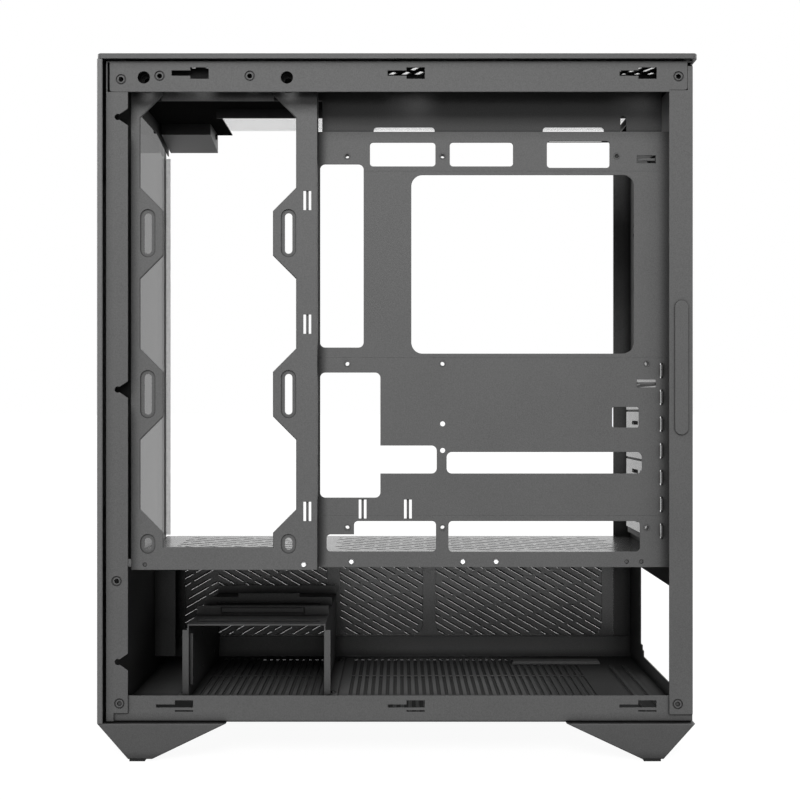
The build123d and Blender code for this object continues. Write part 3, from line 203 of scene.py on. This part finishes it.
# The camera: it stands level at the open cable side, at about half the case's height.
# From this distance the board's holes, the seven slots and the fans' places all fit the photograph.
camera_distance = 0.9237
camera_side = 0.002
camera_height = 0.257
view_lens = bpy.data.cameras.new("view_camera")
view_lens.lens = 50.0
view_lens.sensor_width = 36.0
view_lens.shift_y = 0.0125
view_lens.clip_start = 0.01
view_lens.clip_end = 200.0
view_camera = bpy.data.objects.new("view_camera", view_lens)
view_camera.location = (camera_distance, camera_side, camera_height)
view_camera.rotation_euler = (math.radians(90), 0, math.radians(90))
bpy.context.collection.objects.link(view_camera)
bpy.context.scene.camera = view_camera

# Front frame and rear panel, with the pan let into the rear and the oval pad on its column.
# Thin steel sheet, cut and pressed, then powder coated black-grey. The coat has a fine grain, and
# shade is painted into its colour in creases and deep inside the case.
coat_grey = 0.105
coat_roughness = 0.6
noise_low = 0.3
noise_high = 0.7
grains_per_metre = 1222.2222
patches_per_metre = 22.0
grain_share = 0.75
grain_dark = 0.82
grain_light = 1.2
sheen_spread = 0.16
skin_height = 0.0002
edge_round = 0.0005
# Painted shade: the coat's colour darkens in creases and deep recesses, down to these factors.
crease_reach = 0.008
crease_shut = 0.55
crease_open = 1.0
crease_painted_shade = 0.15
recess_reach = 0.075
recess_shut = 0.2
recess_open = 0.6
recess_painted_shade = 0.12
# Painted shade: a dull near-black surface that the coat gives way to where shadow is painted in.
painted_shade_black_low = 0.01
painted_shade_black_high = 0.02
painted_shade_roughness = 0.9
painted_shade_gloss = 1.03


def dressed(name, material):
    """Gives a CAD piece its material in place of the plain one."""
    piece = case[name]
    if not piece.material_slots:
        piece.data.materials.append(material)
    for holder in piece.material_slots:
        holder.link = "OBJECT"
        holder.material = material


def noise(place, per_metre, detail=2.0, roughness=0.5):
    """Cloudy noise with so many clouds to the metre."""
    sockets = {"Vector": place, "Scale": per_metre, "Detail": detail, "Roughness": roughness}
    return place.node("ShaderNodeTexNoise", {}, sockets)


def noise_tone(value, dark, light):
    """A tone between dark and light that follows a noise over the range it mostly takes."""
    stops = [(noise_low, dark), (noise_high, light)]
    return value.node("ShaderNodeValToRGB", {"stops": stops}, {"Fac": value})


def painted_occlusion_shade(start, reach, shut, opened, dark):
    """Painted shade: 1 in the open, and down to dark where other faces within reach shut out the room."""
    room = start.node("ShaderNodeAmbientOcclusion", {"samples": 8}, {"Distance": reach}, "AO")
    return room.faded(shut, opened, dark, 1.0)


def powder_coat(name, grey, roughness, grain=0.35, gloss=1.33, painted_shade_share=None):
    """Fine-grained coat: speckled tone, painted shade in creases and recesses, uneven sheen, orange-peel
    skin.
    gloss is its index of refraction. The shade share, where given, works out from a face's place and
    outward direction how much of the coat gives way to a painted black shade."""
    material, start = blank_material(name)
    place = start.node("ShaderNodeTexCoord", {}, {}, "Object")
    speckle = noise(place, grains_per_metre, roughness=0.6)
    patches = noise(place, patches_per_metre, detail=3.0, roughness=0.55)
    mottle = speckle * grain_share + patches * (1 - grain_share)
    tone = noise_tone(mottle, grey * grain_dark, grey * grain_light)
    # Painted shade: the coat's tone is darkened where creases and recesses shut out the room.
    crease = painted_occlusion_shade(start, crease_reach, crease_shut, crease_open, crease_painted_shade)
    recess = painted_occlusion_shade(start, recess_reach, recess_shut, recess_open, recess_painted_shade)
    shaded = start.node("ShaderNodeVectorMath", {"operation": "SCALE"}, {0: tone, "Scale": crease * recess})
    rounded = start.node("ShaderNodeBevel", {"samples": 4}, {"Radius": edge_round})
    relief = {"Strength": grain, "Distance": skin_height, "Height": speckle, "Normal": rounded}
    surface = start.node(
        "ShaderNodeBsdfPrincipled",
        {},
        {
            "Base Color": shaded,
            "Roughness": patches * sheen_spread + (roughness - sheen_spread / 2),
            "Normal": start.node("ShaderNodeBump", {}, relief),
            "IOR": gloss,
        },
    )
    # Painted shade: where the share says so, the coat turns into a dull black that stands in for deep
    # shadow.
    if painted_shade_share is not None:
        spot = start.node("ShaderNodeSeparateXYZ", {}, {"Vector": place})
        outward = start.node("ShaderNodeNewGeometry", {}, {}, "Normal")
        facing = start.node("ShaderNodeSeparateXYZ", {}, {"Vector": outward})
        painted_black_shade = start.node(
            "ShaderNodeBsdfPrincipled",
            {},
            {
                "Base Color": noise_tone(speckle, painted_shade_black_low, painted_shade_black_high),
                "Roughness": painted_shade_roughness,
                "IOR": painted_shade_gloss,
            },
        )
        surface = painted_shade_share(spot, facing).mixed(surface, painted_black_shade)
    start.node("ShaderNodeOutputMaterial", {}, {"Surface": surface})
    return material


steel_coat = powder_coat("steel_coat", coat_grey, coat_roughness)
for name in ("front_frame", "rear_panel", "rear_recess", "column_pad"):
    dressed(name, steel_coat)

# Base pan: the floor of the case, one steel sheet with a rail folded up on each side.
# Coated like the front frame. Painted shade: its floor turns to dull black beside the near rail and
# towards the rear, where shadow falls.
floor_clearance = 0.003
floor_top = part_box("floor_filter")[1][2] + floor_clearance
rail_shade_start = 0.02
rail_shade_full = 0.055
rail_shade_share = 0.9
rear_shade_start = 0.06
rear_shade_full = 0.16
rear_shade_share = 0.72
flat_enough = 0.5


def painted_floor_shade(spot, facing):
    """Painted shade: how black the floor's upper face is, more so near the near rail and near the rear."""
    on_floor = (spot.out("Z") < floor_top) * (facing.out("Z") > flat_enough)
    by_rail = spot.out("X").faded(rail_shade_start, rail_shade_full, 0.0, rail_shade_share, "SMOOTHSTEP")
    by_rear = spot.out("Y").faded(rear_shade_start, rear_shade_full, 0.0, rear_shade_share, "SMOOTHSTEP")
    return on_floor * spot.maths("MAXIMUM", by_rail, by_rear)


dressed("base_pan", powder_coat("pan_coat", coat_grey, coat_roughness, painted_shade_share=painted_floor_shade))

# Top plate: one steel sheet over the frame, with the near top rail folded down from it.
# Coated like the front frame, with painted shade that turns its underside dull black, for the dark corner
# below it.
plate_clearance = 0.0005
plate_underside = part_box("port_housing")[1][2] - plate_clearance


def painted_underside_shade(spot, facing):
    """Painted shade: 1 on the faces that look down from the sheet itself, 0 on the rail and on top."""
    return (spot.out("Z") > plate_underside) * (facing.out("Z") < -flat_enough)


dressed("top_plate", powder_coat("plate_coat", coat_grey, coat_roughness, painted_shade_share=painted_underside_shade))

# Chamber shroud: top and slitted far wall of the lower chamber in one folded steel sheet.
# It has the same kind of coat, but smoother and glossier, and is riveted to the tray and the bracket.
dressed("psu_shroud", powder_coat("chamber_coat", grey=0.125, roughness=0.24, gloss=1.5))

# Drive cage and its screws: a folded box of thin steel with stiffening flanges along its top.
# Coated like the front frame, and held to the floor through its feet by small black screws.
dressed("drive_cage", steel_coat)
screw_black = powder_coat("screw_black", grey=0.03, roughness=0.35, grain=0.1)
dressed("cage_screws", screw_black)

# Floor dust net: black woven net too dense to see through, laid flat under the floor's vents.
# It reaches almost to the far ends of the vents, so only a row of dim dots of daylight shows.
net_pitch = 0.0016
net_thread_share = 0.45
net_thread = 0.035
net_hole = 0.006
net_relief = 0.0002
floor_net_far = -0.0965
same_plane = 1e-5


def woven_gaps(start, pitch, thread_share, one_way, other_way):
    """1 in the holes of a square weave and 0 on its threads, spaced along the two axes named."""
    place = start.node("ShaderNodeTexCoord", {}, {}, "Object")
    spot = start.node("ShaderNodeSeparateXYZ", {}, {"Vector": place})
    half_thread = thread_share * pitch / 2
    one_gap = start.maths("PINGPONG", spot.out(one_way), pitch / 2) > half_thread
    other_gap = start.maths("PINGPONG", spot.out(other_way), pitch / 2) > half_thread
    return one_gap * other_gap


def dense_net(name, one_way, other_way):
    """Black net too dense to see through: raised dull threads over darker holes."""
    material, start = blank_material(name)
    gaps = woven_gaps(start, net_pitch, net_thread_share, one_way, other_way)
    tone = start.node("ShaderNodeValToRGB", {"stops": [(0.0, net_thread), (1.0, net_hole)]}, {"Fac": gaps})
    relief = start.node("ShaderNodeBump", {}, {"Strength": 0.5, "Distance": net_relief, "Height": 1 - gaps})
    sockets = {"Base Color": tone, "Roughness": 0.8, "Normal": relief}
    surface = start.node("ShaderNodeBsdfPrincipled", {}, sockets)
    start.node("ShaderNodeOutputMaterial", {}, {"Surface": surface})
    return material


floor_net_mesh = case["floor_filter"].data.copy()
floor_net_mesh.name = "floor_dust_net"
floor_net_mesh.materials.clear()
floor_net_mesh.materials.append(dense_net("floor_net", "X", "Y"))
drawn_far = min(vertex.co.x for vertex in floor_net_mesh.vertices)
for vertex in floor_net_mesh.vertices:
    if vertex.co.x < drawn_far + same_plane:
        vertex.co.x = floor_net_far
floor_dust_net = bpy.data.objects.new("floor_dust_net", floor_net_mesh)
bpy.context.collection.objects.link(floor_dust_net)
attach(floor_dust_net, "case")
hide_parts("floor_filter")

# Side dust sheet: the same dense net, laid flat on the outside of the far wall's slits.
# It stops a hair short of each slit's lower edge, so a thin line of daylight shows there.
sheet_depth = 0.0002
daylight_gap = 0.00014
slit_slope_low = 0.8
slit_slope_high = 0.9
shortest_edge = 0.002
mm_per_metre = 1000.0
weld_distance = 1e-4
inside_only = 1


def in_sheet(y, z):
    """A place in the sheet's own plane, in millimetres for the triangulation."""
    return Vector((mm_per_metre * y, mm_per_metre * z))


_, low_y, low_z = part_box("side_filter")[0]
sheet_back, high_y, high_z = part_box("side_filter")[1]
spots = [in_sheet(low_y, low_z), in_sheet(high_y, low_z), in_sheet(high_y, high_z), in_sheet(low_y, high_z)]
cells = [[0, 1, 2, 3]]
# Each slit's lower face slopes and ends at the sheet. A sliver along that end is marked as daylight.
wall = case["psu_shroud"]
corners = [wall.matrix_world @ vertex.co for vertex in wall.data.vertices]
for face in wall.data.polygons:
    up = wall.matrix_world.to_3x3() @ face.normal
    back = [corners[index] for index in face.vertices if abs(corners[index].x - sheet_back) < same_plane]
    if len(back) != 2 or not slit_slope_low < up.z < slit_slope_high:
        continue
    left, right = sorted(back, key=lambda spot: spot.y)
    if (right - left).length > shortest_edge:
        first = len(spots)
        for spot in (left, right, right + up * daylight_gap, left + up * daylight_gap):
            spots.append(in_sheet(spot.y, spot.z))
        cells.append([first, first + 1, first + 2, first + 3])
# What belongs to the sheet's outline alone is cloth. What also belongs to a sliver stays open.
laid, _, faces, _, _, owners = delaunay_2d_cdt(spots, [], cells, inside_only, weld_distance)
sheet_spots = [(sheet_back - sheet_depth, spot.x / mm_per_metre, spot.y / mm_per_metre) for spot in laid]
sheet_faces = [face for face, owner in zip(faces, owners) if owner == [0]]
sheet_mesh = bpy.data.meshes.new("side_dust_sheet")
sheet_mesh.from_pydata(sheet_spots, [], sheet_faces)
sheet_mesh.materials.append(dense_net("side_net", "Y", "Z"))
side_dust_sheet = bpy.data.objects.new("side_dust_sheet", sheet_mesh)
bpy.context.collection.objects.link(side_dust_sheet)
thicken = side_dust_sheet.modifiers.new("thicken", "SOLIDIFY")
thicken.thickness = sheet_depth
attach(side_dust_sheet, "case")
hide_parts("side_filter")

# Board tray, in four bars that meet edge to edge, and the hexagon standoffs pressed through it.
# Coated steel sheet, a little lighter than the frame, with cut-outs for cables.
tray_coat = powder_coat("tray_coat", grey=0.11, roughness=coat_roughness)
for name in ("motherboard_tray", "tray_top_bar", "tray_cable_panel", "tray_bottom_bar", "standoffs"):
    dressed(name, tray_coat)

# Wall above the tray: a strip of coated steel sheet, darker than the tray in front of it as painted shade
# from the top rail.
# It hangs from the top plate and laps behind the tray.
dressed("tray_top_wall", powder_coat("wall_coat_painted_shade", grey=0.065, roughness=coat_roughness))

# Fan bracket: one pressed steel sheet beside the tray, with tabs between the fans' places.
# Coated a little lighter than the tray. Its dished slots take the fans' screws.
dressed("fan_bracket", powder_coat("bracket_coat", grey=0.115, roughness=coat_roughness))

# Slot covers: seven thin bent strips of coated steel over the expansion slots.
# They are glossier than the rear panel, and one black screw holds each by its tab.
slot_count = 7
cover_coat = powder_coat("cover_coat", coat_grey, roughness=0.15, gloss=1.6)
for number in range(1, slot_count + 1):
    dressed("slot_cover_%d" % number, cover_coat)
dressed("cover_screws", screw_black)

# Flange rivets: bright steel rivets that join the tray and the bracket to the shroud's flanges.
# Their heads are bare plated metal with fine drawn streaks.
streaks_per_metre = 2500.0
streak_dark = 0.85
streak_spread = 0.1


def bare_metal(name, colour, roughness):
    """Bare plated or turned metal with fine drawn streaks."""
    material, start = blank_material(name)
    streaks = noise(start.node("ShaderNodeTexCoord", {}, {}, "Object"), streaks_per_metre)
    shade = noise_tone(streaks, tuple(streak_dark * value for value in colour), colour)
    sockets = {"Base Color": shade, "Metallic": 1.0, "Roughness": streaks * streak_spread + roughness}
    surface = start.node("ShaderNodeBsdfPrincipled", {}, sockets)
    start.node("ShaderNodeOutputMaterial", {}, {"Surface": surface})
    return material


rivet_steel = bare_metal("rivet_steel", colour=(0.82, 0.82, 0.83), roughness=0.25)
dressed("flange_rivets", rivet_steel)

# Top lid: a pressed frame with its rim turned down, open where the mesh sits, with the ports and
# buttons in its front end. Its coat is darker and smoother than the frame's. It stands on posts.
dressed("top_lid", powder_coat("lid_coat", grey=0.085, roughness=0.5, grain=0.25))

# Top mesh: a fine woven dust filter of dark thread, let into the lid's opening on its seat.
# Most of it is open, so what lies under it shows through.
mesh_pitch = 0.0011
mesh_thread_share = 0.1
mesh_weave, start = blank_material("mesh_weave")
thread = start.node("ShaderNodeBsdfPrincipled", {}, {"Base Color": opaque(0.05), "Roughness": 0.7})
hole = start.node("ShaderNodeBsdfTransparent", {}, {"Color": opaque(1.0)})
weave = woven_gaps(start, mesh_pitch, mesh_thread_share, "X", "Y").mixed(thread, hole)
start.node("ShaderNodeOutputMaterial", {}, {"Surface": weave})
dressed("top_filter", mesh_weave)

# Glass studs: short posts that stand on the front frame and carry the glass.
# They are made of dull black rubber.
rubber = powder_coat("rubber", grey=0.035, roughness=0.75, grain=0.2)
dressed("glass_studs", rubber)

# Front glass: one tinted pane with ground edges in front of the frame, carried by the studs.
# Black paint along its near side hides the column behind it. The rest is clear.
pane_tint = 0.21
pane_gloss = 1.06
paint_width = 0.0265
ground_depth = 0.0008
grinding_per_metre = 900.0
pane_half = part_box("front_glass")[1][0]
pane_glass, start = blank_material("pane_glass")
place = start.node("ShaderNodeTexCoord", {}, {}, "Object")
sideways = start.node("ShaderNodeSeparateXYZ", {}, {"Vector": place}, "X")
ground = noise(place, grinding_per_metre)
clear = start.node(
    "ShaderNodeBsdfPrincipled",
    {},
    {"Base Color": opaque(pane_tint), "Roughness": 0.0, "IOR": pane_gloss, "Transmission Weight": 1.0},
)
edge_tone = noise_tone(ground, dark=0.095, light=0.125)
edge = start.node("ShaderNodeBsdfPrincipled", {}, {"Base Color": edge_tone, "Roughness": 0.55})
paint_tone = noise_tone(ground, dark=0.006, light=0.01)
paint = start.node("ShaderNodeBsdfPrincipled", {}, {"Base Color": paint_tone, "Roughness": 0.5, "IOR": 1.2})
painted = (sideways > pane_half - paint_width).mixed(clear, paint)
pane = (abs(sideways) > pane_half - ground_depth).mixed(painted, edge)
start.node("ShaderNodeOutputMaterial", {}, {"Surface": pane})
dressed("front_glass", pane_glass)

# Edge strip: a strip of translucent plastic, fixed upright along the glass.
# It is milky, with a faint cloudiness.
clouds_per_metre = 300.0
strip_plastic, start = blank_material("strip_plastic")
cloud = noise(start.node("ShaderNodeTexCoord", {}, {}, "Object"), clouds_per_metre)
strip_tone = noise_tone(cloud, dark=0.54, light=0.66)
milky = start.node(
    "ShaderNodeBsdfPrincipled",
    {},
    {"Base Color": strip_tone, "Roughness": 0.45, "Transmission Weight": 0.75},
)
start.node("ShaderNodeOutputMaterial", {}, {"Surface": milky})
dressed("glass_edge_strip", strip_plastic)

# Port housing: a hollow box with a sloping underside, under the lid's front far corner.
# Dark grey moulded plastic with a fine texture, held by one black screw.
dressed("port_housing", powder_coat("housing_plastic", grey=0.09, roughness=0.5, grain=0.3, gloss=1.45))
dressed("housing_screw", screw_black)

# Buttons and their switches: two caps in the lid, each kept in by a flange, with a stem over its
# switch. They are moulded in black plastic, and so is the sound jack beside them.
moulded_black = powder_coat("moulded_black", grey=0.05, roughness=0.6, grain=0.3)
for name in ("button_switches", "power_button", "reset_button", "audio_jack"):
    dressed(name, moulded_black)

# Port board and its two ports: a small circuit board on the housing's ledges, and the plated
# steel shells that stand on it and end just under the lid's top face. The board is lacquered dark.
dressed("port_board", powder_coat("board_mask", grey=0.04, roughness=0.4, grain=0.1))
for name in ("usb_port_1", "usb_port_2"):
    dressed(name, rivet_steel)

# Feet: angular wedges of moulded plastic, fixed flat under the four corners of the base pan.
# Each has a pad of black rubber let into its sole.
foot_plastic = powder_coat("foot_plastic", grey=0.085, roughness=0.55, grain=0.3)
for corner in ("front_near", "front_far", "rear_near", "rear_far"):
    dressed("foot_" + corner, foot_plastic)
    dressed("foot_pad_" + corner, rubber)
